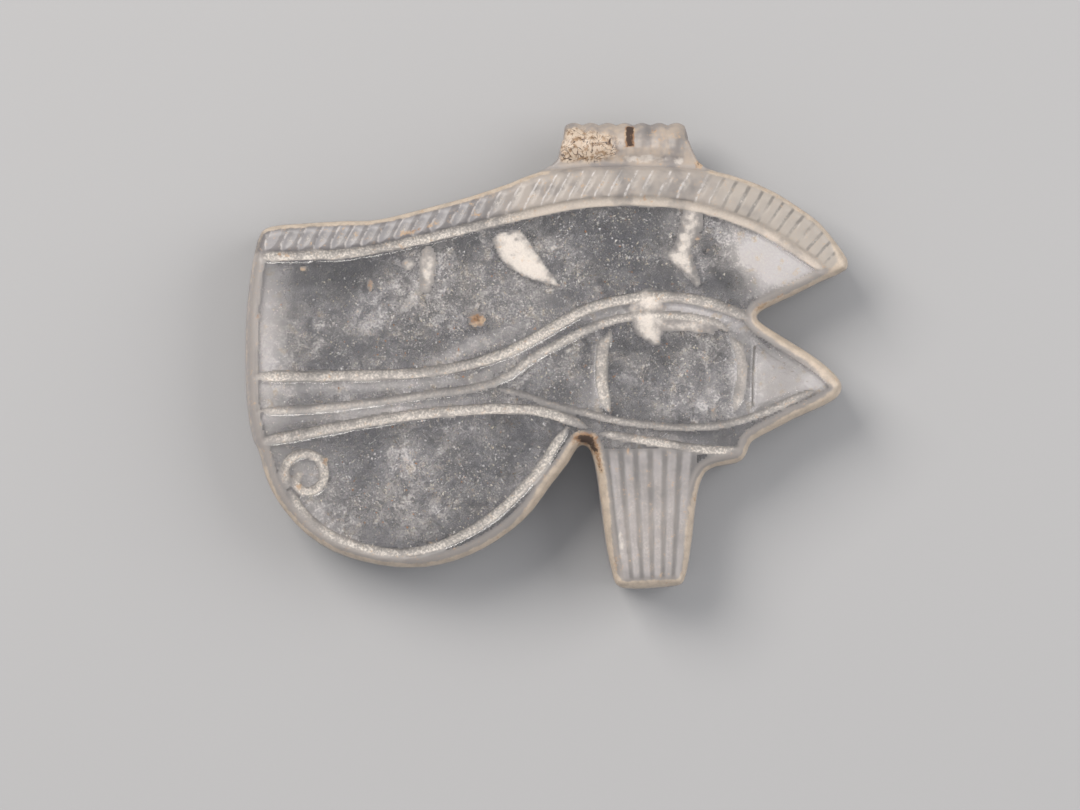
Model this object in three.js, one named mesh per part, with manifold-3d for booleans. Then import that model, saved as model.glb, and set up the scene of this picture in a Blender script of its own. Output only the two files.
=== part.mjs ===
// A wedjat eye amulet, carved from one piece of clear rock crystal.
// It lies on its flat back with the brow towards +Y, and the origin is under its middle.
// All sizes are millimetres.
import * as THREE from "three";
import { mergeVertices } from "three/addons/utils/BufferGeometryUtils.js";
import Module from "manifold-3d";

const wasm = await Module();
wasm.setup();

// The plate: flat behind, a very shallow dome in front, its edges rounded by wear.
const THICKNESS = 7.4;
const DOME_RADIUS = 165;
const DOME_REACH = 30;
const DOME_RINGS = 9;
const DOME_SIDES = 24;
const BACK_ROUND = 0.5;
const BRIM_WIDTH = 0.75;
const DROP_BRIM_WIDTH = 1.15;
const BRIM_FALL = 1.3;
const BRIM_STEPS = 3;
const NARROWEST_SHARE = 0.75;
const SAMPLES_PER_POINT = 2;
const OVERSHOOT = 1;

// The outline, walked anticlockwise in short stretches, each through its own few points.
const BACK_EDGE = [
  [-21.8, 7.6], [-22.1, 6], [-22.4, 3.4], [-22.5, 0.4], [-22.45, -3], [-22.2, -5.2], [-21.9, -6.5],
];
const LOBE = [
  [-21.5, -7.3], [-21.2, -8.5], [-20.6, -10.1], [-19.5, -11.8], [-17.9, -13.5], [-16, -14.7],
  [-13.7, -15.5], [-11.3, -15.9], [-9.1, -15.9], [-6.8, -15.4], [-4.7, -14.5], [-2.7, -13.2],
  [-1.1, -11.7], [0.2, -9.9], [1.6, -8.1],
];
const LOBE_TO_DROP = [[2.3, -6.95], [2.7, -6.8], [3.1, -7]];
const DROP = [
  [3.4, -7.7], [3.7, -9.1], [4, -11.4], [4.35, -14], [4.8, -16.2], [5.15, -17.2], [5.8, -17.5],
  [7.5, -17.5], [9.2, -17.35], [10.05, -17.15], [10.35, -16.5], [10.65, -15], [10.9, -13],
  [11.1, -11.1], [11.35, -9.8], [11.8, -8.85],
];
const LEDGE = [[12.5, -8.45], [13.9, -8.2], [14.55, -7.9], [14.9, -7.3], [15.15, -6.65], [15.8, -6.2]];
const EYE_TIP = [
  [17, -5.6], [18.4, -4.85], [19.9, -4.2], [21.4, -3.45], [21.9, -2.9], [21.95, -2.2],
  [21.4, -1.45], [20.3, -0.5], [18.8, 0.5], [17, 1.6],
];
const TIP_NOTCH = [[15.75, 2.45], [15.6, 2.8], [16.2, 3.3]];
const BROW_TIP = [[18.1, 4.2], [20.3, 5.3], [22.35, 6.3], [22.45, 6.9], [22.2, 7.4]];
const BROW_TOP = [
  [21.5, 8.4], [20.3, 9.8], [18.8, 10.9], [17, 12.05], [14.7, 13], [12.2, 13.65], [6, 14],
  [-0.5, 13.55], [-2.7, 12.7], [-5.7, 11.7], [-8.7, 10.9], [-11.7, 10.15], [-13.3, 9.9],
  [-15, 9.9], [-18.3, 9.7], [-20.6, 9.5], [-21.3, 9.1],
];

// The ribbed tube along the brow that the cord was threaded through, and the web it stands on.
const TUBE_RADIUS = 2;
const TUBE_HEIGHT = 3.6;
const TUBE_Y = 15.3;
const TUBE_START = 1.35;
const TUBE_END = 10.3;
const RIBS = 7;
const RIB_DEPTH = 0.22;
const RIB_STEPS = 4;
const TUBE_SIDES = 20;
const CHAMFER = 0.25;
const END_SLANT = 0.5;
const BORE_RADIUS = 0.75;
const BORE_SIDES = 16;
const WEB_THICKNESS = 3.4;
const WEB = [
  [-1.4, 12.8], [-0.7, 13.5], [0.3, 14], [0.8, 14.5], [1, 15.3], [1.15, 15.9], [10.55, 15.9],
  [10.9, 15], [11.25, 14.3], [11.8, 13.85], [12.7, 13.55], [13.2, 12.8],
];

// Wheel-cut grooves, each along a smooth route on the front.
const BROW_GROOVE = [
  [-21.6, 7.2], [-18.3, 7.3], [-15, 7.4], [-12, 7.9], [-8.7, 8.6], [-5, 9.5], [-1.2, 10.4],
  [2.5, 11.1], [6.2, 11.3], [9.9, 11.1], [13.2, 10.3], [16.2, 9.1], [18.8, 7.5], [20.9, 6],
];
const LID_TOP = [
  [-21.8, -1.7], [-17.6, -1.7], [-13.1, -1.6], [-9.1, -1.4], [-5.7, -0.8], [-2.7, 0.2],
  [-0.1, 1.6], [2.5, 3.1], [5.1, 3.9], [7.7, 4.2], [10.3, 4.1], [12.9, 3.5], [15.2, 2.5],
];
const LID_UNDER = [
  [-21.8, -4.3], [-17.6, -4.1], [-13.1, -3.6], [-8.7, -3], [-5, -2.5], [-3.1, -1.8],
  [-1.2, -0.4], [1, 0.8], [4, 2.2], [6.9, 2.8], [10.3, 2.7], [12.5, 2.3], [13.8, 1.5],
];
const TAIL_UNDER = [
  [-21.3, -6.5], [-18.3, -6], [-14.6, -5.3], [-10.9, -4.7], [-7.2, -4.3], [-3.5, -4.1],
  [-0.9, -4.2], [1.4, -4.8], [3, -5.5],
];
const LOWER_LID = [
  [-4.2, -2.5], [-1.8, -3], [0.2, -3.7], [2.5, -4.3], [4.7, -4.9], [7.3, -5.3], [9.9, -5.5],
  [12.5, -5.4], [14.7, -4.9], [16.6, -4.2], [18.4, -3.3], [20.2, -2.6],
];
const LID_FOOT = [
  [3.8, -5.9], [5.9, -6.2], [7.7, -6.5], [9.5, -6.8], [11.4, -7.1], [13, -7.2], [14.4, -7],
];
const PUPIL_LEFT = [[4.8, 1.7], [4.2, 0.7], [4, -0.8], [4.1, -2.7], [4.6, -4.4]];
const PUPIL_RIGHT = [[13.4, 1.4], [14.2, 0.6], [14.5, -0.9], [14.35, -2.8], [13.8, -4.5]];
const LOBE_RIM = [
  [1.6, -5.4], [0.6, -6.7], [-0.5, -8.5], [-2, -10.2], [-3.8, -11.9], [-6.3, -13.5],
  [-9.1, -14.6], [-11.8, -14.8], [-14.5, -14.2], [-16.7, -13.1], [-18.4, -11.5], [-19.3, -10],
];
const GROOVES = [
  { route: BROW_GROOVE, width: 0.85, depth: 0.34 },
  { route: LID_TOP, width: 0.9, depth: 0.32 },
  { route: LID_UNDER, width: 0.75, depth: 0.22 },
  { route: TAIL_UNDER, width: 0.9, depth: 0.34 },
  { route: LOWER_LID, width: 0.7, depth: 0.2 },
  { route: LID_FOOT, width: 0.75, depth: 0.3 },
  { route: PUPIL_LEFT, width: 1, depth: 0.32 },
  { route: PUPIL_RIGHT, width: 1, depth: 0.26 },
  { route: LOBE_RIM, width: 0.8, depth: 0.3 },
];
const GROOVE_SIDES = 8;
const GROOVE_STEP = 1.5;
const LIFT_OUT = 1.1;

// The curl at the lobe's back, one winding cut that closes in at its end.
const CURL_CENTRE = [-18, -8.9];
const CURL_RADIUS = 1.54;
const CURL_START = 1.12 * Math.PI;
const CURL_TURN = 2.1 * Math.PI;
const CURL_DRIFT = 0.04;
const CURL_CLOSING = 0.84;
const CURL_TIGHTENING = 8;
const CURL_POINTS = 26;
const CURL_WIDTH = 0.66;
const CURL_DEPTH = 0.36;

// Short slanting cuts that stand for the hairs of the brow, each by the place where it starts
// along the groove. They are wide scoops at the left, and narrower and closer further along.
const HATCH_FEET = [
  -19.8, -18.55, -17.35, -16.1, -15.05, -13.8, -12.6, -11.35, -10.05, -8.7, -7.2, -5.9, -4.5,
  -3.2, -1.85, -0.65, 0.3, 1.35, 2.3, 3.3, 4.35, 5.6, 6.75, 8.1, 9.5, 10.85, 11.8, 12.75, 13.75,
  14.65, 15.4, 16.1, 16.8, 17.5, 18.25, 19, 19.7, 20.35,
];
const HATCH_LEAN = THREE.MathUtils.degToRad(61);
const HATCH_TIP_LEAN = THREE.MathUtils.degToRad(47);
const HATCH_TIP_X = [13, 20];
const HATCH_WIDTHS = [0.8, 0.38];
const HATCH_NARROWING = [-12, 2];
const HATCH_DEPTH = 0.17;
const HATCH_SIDES = 8;
const HATCH_GAP = 0.45;
const HATCH_LIFT_OUT = 0.3;
const LIP_WIDTH = 0.45;

// The flutes down the drop, and the sunk corner of the eye.
const FLUTES = 6;
const FLUTE_TOP = [[4.95, -7.75], [10.3, -8.15]];
const FLUTE_FOOT = [[5.9, -16.9], [9.75, -16.7]];
const FLUTE_WIDTH = 0.72;
const FLUTE_DEPTH = 0.24;
const FLUTE_LIFT_OUT = 0.6;
const FLUTE_STEPS = 5;
const CORNER = [[15.3, 0.8], [20, -2.15], [15.15, -4.3]];
const CORNER_DEPTH = 0.4;
const CORNER_SLOPE = 0.3;

// Height of the domed front above the table.
function frontHeight(x, y) {
  return Math.sqrt(DOME_RADIUS ** 2 - x ** 2 - y ** 2) - DOME_RADIUS + THICKNESS;
}

function vector2s(points) {
  return points.map(([x, y]) => new THREE.Vector2(x, y));
}

// A smooth plane curve through a few points, as evenly spread samples.
function smooth(points, closed, samples) {
  const knots = points.map(([x, y]) => new THREE.Vector3(x, y, 0));
  const curve = new THREE.CatmullRomCurve3(knots, closed, "centripetal");
  const found = closed ? curve.getPoints(samples).slice(0, -1) : curve.getSpacedPoints(samples);
  return found.map((p) => new THREE.Vector2(p.x, p.y));
}

// A closed solid for cutting and joining, whichever way its faces wind.
function solidOf(geometry) {
  const bare = geometry.clone();
  bare.deleteAttribute("normal");
  bare.deleteAttribute("uv");
  const merged = mergeVertices(bare, 1e-4);
  const triVerts = new Uint32Array(merged.index.array);
  const vertProperties = merged.attributes.position.array;
  const make = () => new wasm.Manifold(new wasm.Mesh({ numProp: 3, vertProperties, triVerts }));
  const made = make();
  if (made.volume() > 0) return made;
  triVerts.reverse();
  return make();
}

// Rings of equal count, laid one on the next from the bottom up and closed at both ends.
function stack(rings) {
  const count = rings[0].length;
  const index = [];
  for (let level = 0; level < rings.length - 1; level += 1) {
    for (let i = 0; i < count; i += 1) {
      const here = level * count + i;
      const beside = level * count + ((i + 1) % count);
      index.push(here, beside, beside + count, here, beside + count, here + count);
    }
  }
  const last = (rings.length - 1) * count;
  for (const [a, b, c] of THREE.ShapeUtils.triangulateShape(rings[0], [])) {
    index.push(c, b, a);
  }
  for (const [a, b, c] of THREE.ShapeUtils.triangulateShape(rings.at(-1), [])) {
    index.push(last + a, last + b, last + c);
  }
  const positions = rings.flat().flatMap((p) => [p.x, p.y, p.z]);
  const geometry = new THREE.BufferGeometry();
  geometry.setAttribute("position", new THREE.Float32BufferAttribute(positions, 3));
  return geometry.setIndex(index);
}

// The direction into the plate at one point of its outline.
function inwardAt(ring, i) {
  const along = ring[(i + 1) % ring.length].clone().sub(ring.at(i - 1)).normalize();
  return new THREE.Vector2(-along.y, along.x);
}

// Radius of the largest circle inside the outline that touches it at one point.
function roomAt(ring, i, inward) {
  let room = Infinity;
  for (const other of ring) {
    const chord = other.clone().sub(ring[i]);
    const rise = chord.dot(inward);
    if (rise > 1e-6) room = Math.min(room, chord.lengthSq() / (2 * rise));
  }
  return room;
}

// The rounded front edge is wider down the sides of the drop than elsewhere.
function brimWidth({ x, y }) {
  const onDrop = x > 3 ? THREE.MathUtils.smoothstep(-y, 7.5, 9.5) : 0;
  return THREE.MathUtils.lerp(BRIM_WIDTH, DROP_BRIM_WIDTH, onDrop);
}

// The outline moved inwards by a share of each point's width, less where a tip is narrow.
function insetRing(ring, widthAt, share, heightAt) {
  return ring.map((point, i) => {
    const inward = inwardAt(ring, i);
    const width = Math.min(widthAt(point), NARROWEST_SHARE * roomAt(ring, i, inward));
    const moved = point.clone().addScaledVector(inward, width * share);
    return new THREE.Vector3(moved.x, moved.y, heightAt(moved.x, moved.y));
  });
}

// The bare plate, before any carving.
function plate() {
  const knots = [
    ...BACK_EDGE, ...LOBE, ...LOBE_TO_DROP, ...DROP, ...LEDGE,
    ...EYE_TIP, ...TIP_NOTCH, ...BROW_TIP, ...BROW_TOP,
  ];
  const outline = smooth(knots, true, knots.length * SAMPLES_PER_POINT);
  const rings = [
    insetRing(outline, () => BACK_ROUND, 1, () => 0),
    insetRing(outline, () => BACK_ROUND, 0, () => BACK_ROUND),
  ];
  for (let step = 0; step <= BRIM_STEPS; step += 1) {
    const angle = (step / BRIM_STEPS) * (Math.PI / 2);
    const fall = BRIM_FALL * (1 - Math.sin(angle));
    rings.push(insetRing(outline, brimWidth, 1 - Math.cos(angle), (x, y) => frontHeight(x, y) - fall));
  }
  rings.push(insetRing(outline, brimWidth, 1, () => THICKNESS + OVERSHOOT));
  return solidOf(stack(rings)).intersect(dome());
}

// A round block under the shallow dome of the front.
function dome() {
  const profile = [new THREE.Vector2(0, -OVERSHOOT), new THREE.Vector2(DOME_REACH, -OVERSHOOT)];
  for (let ring = DOME_RINGS; ring >= 0; ring -= 1) {
    const radius = (ring / DOME_RINGS) * DOME_REACH;
    profile.push(new THREE.Vector2(radius, frontHeight(radius, 0)));
  }
  return solidOf(new THREE.LatheGeometry(profile, DOME_SIDES).rotateX(Math.PI / 2));
}

// The tube is turned along X, its ribs as one scalloped profile with bevelled ends.
function tube() {
  const pitch = (TUBE_END - TUBE_START) / RIBS;
  const profile = [new THREE.Vector2(0, TUBE_START - END_SLANT / 2)];
  profile.push(new THREE.Vector2(TUBE_RADIUS - CHAMFER, TUBE_START));
  for (let rib = 0; rib < RIBS; rib += 1) {
    for (let step = rib === 0 ? 1 : 0; step < RIB_STEPS; step += 1) {
      const swell = Math.sin((step / RIB_STEPS) * Math.PI);
      const along = TUBE_START + pitch * (rib + step / RIB_STEPS);
      profile.push(new THREE.Vector2(TUBE_RADIUS - RIB_DEPTH * (1 - swell), along));
    }
  }
  profile.push(new THREE.Vector2(TUBE_RADIUS - CHAMFER, TUBE_END));
  profile.push(new THREE.Vector2(0, TUBE_END + END_SLANT));
  const turned = new THREE.LatheGeometry(profile, TUBE_SIDES).rotateZ(-Math.PI / 2);
  return solidOf(turned.translate(0, TUBE_Y, TUBE_HEIGHT));
}

// The web carries the tube on the brow and flares into it at both ends.
function web() {
  const shape = new THREE.Shape(vector2s(WEB));
  const block = new THREE.ExtrudeGeometry(shape, { depth: WEB_THICKNESS, bevelEnabled: false });
  return solidOf(block.translate(0, 0, TUBE_HEIGHT - WEB_THICKNESS / 2));
}

function bore() {
  const length = TUBE_END - TUBE_START + 2 * OVERSHOOT + 2 * END_SLANT;
  const drill = new THREE.CylinderGeometry(BORE_RADIUS, BORE_RADIUS, length, BORE_SIDES);
  drill.rotateZ(Math.PI / 2).translate((TUBE_START + TUBE_END) / 2, TUBE_Y, TUBE_HEIGHT);
  return solidOf(drill);
}

function regularPolygon(radius, sides) {
  const corners = Array.from({ length: sides }, (_, i) => {
    const angle = (i / sides) * 2 * Math.PI;
    return new THREE.Vector2(radius * Math.cos(angle), radius * Math.sin(angle));
  });
  return new THREE.Shape(corners);
}

// A round-bottomed cut that follows the front and lifts out of it at both ends.
function groove(samples, width, depth, liftOut = LIFT_OUT, sides = GROOVE_SIDES) {
  const radius = (width ** 2 / 4 + depth ** 2) / (2 * depth);
  const length = samples.slice(1).reduce((sum, p, i) => sum + p.distanceTo(samples[i]), 0);
  const centres = samples.map((p, i) => {
    const walked = (i / (samples.length - 1)) * length;
    const fromEnd = Math.min(walked, length - walked);
    const sunk = depth * THREE.MathUtils.smoothstep(fromEnd, -liftOut / 2, liftOut);
    return new THREE.Vector3(p.x, p.y, frontHeight(p.x, p.y) + radius - sunk);
  });
  const extrudePath = new THREE.CatmullRomCurve3(centres);
  const options = { steps: samples.length - 1, bevelEnabled: false, extrudePath };
  return solidOf(new THREE.ExtrudeGeometry(regularPolygon(radius, sides), options));
}

function routedGroove({ route, width, depth }) {
  const rough = smooth(route, false, route.length);
  const length = rough.slice(1).reduce((sum, p, i) => sum + p.distanceTo(rough[i]), 0);
  return groove(smooth(route, false, Math.ceil(length / GROOVE_STEP)), width, depth);
}

// The curl winds clockwise inwards, slowly at first and then tightly.
function curl() {
  const route = Array.from({ length: CURL_POINTS + 1 }, (_, i) => {
    const t = i / CURL_POINTS;
    const radius = CURL_RADIUS * (1 - CURL_DRIFT * t - CURL_CLOSING * t ** CURL_TIGHTENING);
    const angle = CURL_START - CURL_TURN * t;
    return [CURL_CENTRE[0] + radius * Math.cos(angle), CURL_CENTRE[1] + radius * Math.sin(angle)];
  });
  const samples = smooth([...LOBE_RIM.slice(-1), ...route], false, CURL_POINTS);
  return groove(samples, CURL_WIDTH, CURL_DEPTH);
}

function between(start, end, steps) {
  return Array.from({ length: steps + 1 }, (_, i) => start.clone().lerp(end, i / steps));
}

// The cuts of the brow all lean one way and run from its groove to the lip along its top.
function hatching() {
  const lower = smooth(BROW_GROOVE, false, 400);
  const upper = smooth([...BROW_TOP].reverse(), false, 225);
  return HATCH_FEET.flatMap((x) => {
    const foot = lower.reduce((best, p) => (Math.abs(p.x - x) < Math.abs(best.x - x) ? p : best));
    const towardsTip = THREE.MathUtils.smoothstep(foot.x, ...HATCH_TIP_X);
    const angle = THREE.MathUtils.lerp(HATCH_LEAN, HATCH_TIP_LEAN, towardsTip);
    const lean = new THREE.Vector2(Math.cos(angle), Math.sin(angle));
    const offLine = (p) => Math.abs(p.clone().sub(foot).cross(lean));
    const head = upper.reduce((best, p) => (offLine(p) < offLine(best) ? p : best));
    const reach = head.distanceTo(foot) - LIP_WIDTH;
    if (reach < 2 * HATCH_GAP) return [];
    const [start, end] = [HATCH_GAP, reach].map((s) => foot.clone().addScaledVector(lean, s));
    const width = THREE.MathUtils.lerp(...HATCH_WIDTHS, THREE.MathUtils.smoothstep(x, ...HATCH_NARROWING));
    return [groove(between(start, end, 2), width, HATCH_DEPTH, HATCH_LIFT_OUT, HATCH_SIDES)];
  });
}

// The flutes draw together from the lid down to the foot of the drop.
function flutes() {
  const [topStart, topEnd] = vector2s(FLUTE_TOP);
  const [footStart, footEnd] = vector2s(FLUTE_FOOT);
  return Array.from({ length: FLUTES }, (_, i) => {
    const share = i / (FLUTES - 1);
    const head = topStart.clone().lerp(topEnd, share);
    const foot = footStart.clone().lerp(footEnd, share);
    return groove(between(head, foot, FLUTE_STEPS), FLUTE_WIDTH, FLUTE_DEPTH, FLUTE_LIFT_OUT);
  });
}

// The inner corner of the eye, sunk as a flat three-sided field.
function sunkCorner() {
  const shape = new THREE.Shape(vector2s(CORNER));
  const middle = vector2s(CORNER).reduce((sum, p) => sum.add(p)).divideScalar(CORNER.length);
  const block = new THREE.ExtrudeGeometry(shape, {
    depth: OVERSHOOT,
    bevelThickness: CORNER_DEPTH,
    bevelSize: CORNER_SLOPE,
    bevelOffset: -CORNER_SLOPE,
    bevelSegments: 1,
  });
  return solidOf(block.translate(0, 0, frontHeight(middle.x, middle.y)));
}

// One stone: plate, web and tube joined, then everything cut that the carver cut.
function amulet() {
  const blank = plate().add(web()).add(tube());
  const cuts = [bore(), ...GROOVES.map(routedGroove), curl(), ...hatching(), ...flutes(), sunkCorner()];
  const carved = cuts.reduce((stone, cut) => stone.subtract(cut), blank);
  const mesh = carved.getMesh();
  const geometry = new THREE.BufferGeometry();
  geometry.setAttribute("position", new THREE.BufferAttribute(mesh.vertProperties, 3));
  geometry.setIndex(new THREE.BufferAttribute(mesh.triVerts, 1));
  geometry.computeVertexNormals();
  return geometry;
}

const crystal = new THREE.MeshStandardMaterial({ color: 0xb9b6bd, roughness: 0.3, metalness: 0 });
const stone = new THREE.Mesh(amulet(), crystal);
stone.name = "wedjat_amulet";

const part = new THREE.Group();
part.add(stone);

export default part;
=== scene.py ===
import math

import bmesh
import bpy
import numpy as np
from mathutils import Matrix, Vector, kdtree


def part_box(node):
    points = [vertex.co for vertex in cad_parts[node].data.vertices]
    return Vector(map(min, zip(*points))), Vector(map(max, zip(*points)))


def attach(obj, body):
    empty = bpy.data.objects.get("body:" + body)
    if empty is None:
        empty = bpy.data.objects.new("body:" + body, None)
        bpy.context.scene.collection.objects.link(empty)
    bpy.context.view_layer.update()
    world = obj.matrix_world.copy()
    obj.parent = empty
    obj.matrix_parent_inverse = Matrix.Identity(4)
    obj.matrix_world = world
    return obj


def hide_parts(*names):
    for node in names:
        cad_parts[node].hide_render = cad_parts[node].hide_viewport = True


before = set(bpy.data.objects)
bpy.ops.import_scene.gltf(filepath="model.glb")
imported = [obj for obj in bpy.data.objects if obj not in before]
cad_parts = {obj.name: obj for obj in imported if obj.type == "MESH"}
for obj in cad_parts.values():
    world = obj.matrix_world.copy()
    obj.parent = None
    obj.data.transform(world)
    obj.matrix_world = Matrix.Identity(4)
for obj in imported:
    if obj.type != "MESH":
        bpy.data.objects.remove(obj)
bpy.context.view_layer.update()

# The view. The amulet lies on its flat back with the brow at the top of the picture, and the
# camera looks straight down on its carved front from far enough to flatten the perspective.
MM = 0.001
PICTURE_PX = (1080, 810)
STONE_WIDTH_PX = 605.5
STONE_CENTRE_PX = (546.8, 355.2)
LENS_MM = 150.0
SENSOR_MM = 36.0
EDGE_HEIGHT = 6.0 * MM

stone_low, stone_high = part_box("wedjat_amulet")
px_per_m = STONE_WIDTH_PX / (stone_high.x - stone_low.x)
stone_centre = (stone_low + stone_high) / 2
lens = bpy.data.cameras.new("camera")
lens.lens = LENS_MM
lens.sensor_width = SENSOR_MM
camera = bpy.data.objects.new("camera", lens)
camera.location = (
    stone_centre.x + (PICTURE_PX[0] / 2 - STONE_CENTRE_PX[0]) / px_per_m,
    stone_centre.y + (STONE_CENTRE_PX[1] - PICTURE_PX[1] / 2) / px_per_m,
    EDGE_HEIGHT + PICTURE_PX[0] * LENS_MM / SENSOR_MM / px_per_m,
)
bpy.context.scene.collection.objects.link(camera)
bpy.context.scene.camera = camera

# The studio. A pale matt table top, one large soft light up and to the left, a weaker one
# across from it, and an even pale surround.
TABLE_COLOR = (0.30, 0.30, 0.305, 1.0)
SURROUND_COLOR = (0.98, 0.98, 1.0, 1.0)
SURROUND_STRENGTH = 0.75
TABLE_ROUGHNESS = 0.7
TABLE_GAP = 0.05 * MM
KEY_LIGHT = {"place": (-0.32, 0.30, 0.45), "size": 0.35, "watts": 4.3, "color": (1.0, 0.955, 0.90)}
FILL_LIGHT = {"place": (0.40, 0.10, 0.30), "size": 0.40, "watts": 1.7, "color": (1.0, 0.98, 0.96)}


def new_material(name):
    material = bpy.data.materials.new(name)
    material.use_nodes = True
    return material, material.node_tree, material.node_tree.nodes["Principled BSDF"]


def add_light(name, place, size, watts, color):
    lamp = bpy.data.lights.new(name, "AREA")
    lamp.size = size
    lamp.energy = watts
    lamp.color = color
    light = bpy.data.objects.new(name, lamp)
    light.location = place
    light.rotation_euler = Vector(place).to_track_quat("Z", "Y").to_euler()
    bpy.context.scene.collection.objects.link(light)


table_mesh = bpy.data.meshes.new("table")
table_mesh.from_pydata([(-1, -1, 0), (1, -1, 0), (1, 1, 0), (-1, 1, 0)], [], [(0, 1, 2, 3)])
table_mesh.transform(Matrix.Translation((0, 0, -TABLE_GAP)))
table = bpy.data.objects.new("table", table_mesh)
bpy.context.scene.collection.objects.link(table)
table_material, _, table_shader = new_material("pale_table")
table_shader.inputs["Base Color"].default_value = TABLE_COLOR
table_shader.inputs["Roughness"].default_value = TABLE_ROUGHNESS
table_mesh.materials.append(table_material)

add_light("key", **KEY_LIGHT)
add_light("fill", **FILL_LIGHT)
world = bpy.data.worlds.new("surround")
world.use_nodes = True
world.node_tree.nodes["Background"].inputs["Color"].default_value = SURROUND_COLOR
world.node_tree.nodes["Background"].inputs["Strength"].default_value = SURROUND_STRENGTH
bpy.context.scene.world = world
bpy.context.scene.view_settings.view_transform = "Standard"

# The stone. One piece of clear quartz, sawn and ground to its outline, its front cut with a
# wheel and abrasive. The body is the carved solid with its facets and edges worn smooth.
STONE_VOXEL = 0.30 * MM
STONE_SMOOTHING = 2
DOME_RADIUS = 165 * MM
OUTLINE_LEVEL = 0.5 * MM
OUTLINE_STEPS = 12
WELD_GAP = 1e-7
CARVED_DEPTH = 1.1 * MM
TUBE_FOOT_Y = 13.9 * MM
RIM_WIDTH = 0.75 * MM
UNDULATION = 0.05 * MM
UNDULATION_SIZE = 5.0 * MM
GRAIN = 0.02 * MM
GRAIN_SIZE = 0.35 * MM


def baked_mesh(obj):
    """The object's mesh with its modifiers in it, as plain data."""
    graph = bpy.context.evaluated_depsgraph_get()
    return bpy.data.meshes.new_from_object(obj.evaluated_get(graph), depsgraph=graph)


def settle(obj):
    """Puts the modifiers' result in the object's own mesh and takes them off."""
    mesh = baked_mesh(obj)
    obj.modifiers.clear()
    obj.data = mesh


def add_roughening(obj, name, strength, size, group=""):
    cloud = bpy.data.textures.new(name, "CLOUDS")
    cloud.noise_scale = size
    cloud.noise_depth = 2
    push = obj.modifiers.new(name, "DISPLACE")
    push.texture = cloud
    push.texture_coords = "LOCAL"
    push.strength = strength
    push.mid_level = 0.5
    push.vertex_group = group


def mesh_arrays(mesh):
    """Places and normals of a mesh's vertices."""
    count = len(mesh.vertices)
    places = np.empty(count * 3, np.float32)
    normals = np.empty(count * 3, np.float32)
    mesh.vertices.foreach_get("co", places)
    mesh.vertex_normals.foreach_get("vector", normals)
    return places.reshape(-1, 3), normals.reshape(-1, 3)


def ramp(values, start, end):
    """A smooth step from 0 at start to 1 at end."""
    t = np.clip((values - start) / (end - start), 0, 1)
    return t * t * (3 - 2 * t)


def add_group(obj, name, chosen):
    obj.vertex_groups.new(name=name).add(np.flatnonzero(chosen).tolist(), 1.0, "REPLACE")


def link(name, mesh):
    obj = bpy.data.objects.new(name, mesh)
    bpy.context.scene.collection.objects.link(obj)
    return obj


# The solid itself, welded. Its outline just above the back gives the way in from the edge.
welded = bmesh.new()
welded.from_mesh(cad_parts["wedjat_amulet"].data)
bmesh.ops.remove_doubles(welded, verts=welded.verts, dist=WELD_GAP)
outline = [
    tuple(v.co.copy() for v in edge.verts)
    for edge in welded.edges
    if all(abs(v.co.z - OUTLINE_LEVEL) < 0.02 * MM for v in edge.verts)
]
solid = link("solid", bpy.data.meshes.new("solid"))
welded.to_mesh(solid.data)
welded.free()
outline_tree = kdtree.KDTree(len(outline) * OUTLINE_STEPS)
for index in range(len(outline) * OUTLINE_STEPS):
    start, end = outline[index // OUTLINE_STEPS]
    spot = start.lerp(end, (index % OUTLINE_STEPS) / OUTLINE_STEPS)
    outline_tree.insert((spot.x, spot.y, 0), index)
outline_tree.balance()


def uncut_front(x, y):
    """Height of the domed front before anything was cut into it."""
    return stone_high.z + np.sqrt(DOME_RADIUS**2 - x**2 - y**2) - DOME_RADIUS


def way_in(x, y):
    """Distance of each place from the outline."""
    return np.array([outline_tree.find((px, py, 0))[2] for px, py in zip(x, y)])


# An even skin over the solid, twice as fine on the carved front and the tube, drawn tight
# onto the solid and then rubbed down.
stone = link("rock_crystal", solid.data.copy())
skin = stone.modifiers.new("skin", "REMESH")
skin.mode = "VOXEL"
skin.voxel_size = STONE_VOXEL
skin.use_smooth_shade = True
settle(stone)
finer = bmesh.new()
finer.from_mesh(stone.data)
carved = set()
for face in finer.faces:
    middle = face.calc_center_median()
    on_front = middle.z > uncut_front(middle.x, middle.y) - CARVED_DEPTH
    if on_front or middle.y > TUBE_FOOT_Y:
        carved.update(face.edges)
bmesh.ops.subdivide_edges(finer, edges=list(carved), cuts=1, use_grid_fill=True)
finer.to_mesh(stone.data)
finer.free()
tight = stone.modifiers.new("tight", "SHRINKWRAP")
tight.target = solid
tight.wrap_method = "NEAREST_SURFACEPOINT"
settle(stone)
bpy.data.objects.remove(solid)

# How deep each place was cut below the domed front, before the edges are worn. The back
# stays flat, and the ground cuts are left coarse by the abrasive.
x, y, z = mesh_arrays(stone.data)[0].T
depth = uncut_front(x, y) - z
inset = way_in(x, y)
on_tube = ramp(y, TUBE_FOOT_Y - 0.4 * MM, TUBE_FOOT_Y + 0.4 * MM)
on_front = (1 - ramp(depth, 1.2 * MM, 1.5 * MM)) * (1 - on_tube)
worn = stone.modifiers.new("worn", "SMOOTH")
worn.factor = 0.5
worn.iterations = STONE_SMOOTHING
add_group(stone, "raised", z > 1.0 * MM)
add_group(stone, "cut", (on_front > 0.5) & (depth > 0.06 * MM) & (inset > RIM_WIDTH))
add_roughening(stone, "undulation", UNDULATION, UNDULATION_SIZE, "raised")
add_roughening(stone, "grain", GRAIN, GRAIN_SIZE, "cut")
settle(stone)
stone.vertex_groups.clear()
stone.data.name = "rock_crystal"
within_box = np.clip(mesh_arrays(stone.data)[0], stone_low, stone_high)
stone.data.vertices.foreach_set("co", within_box.ravel())
stone.data.update()

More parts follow.
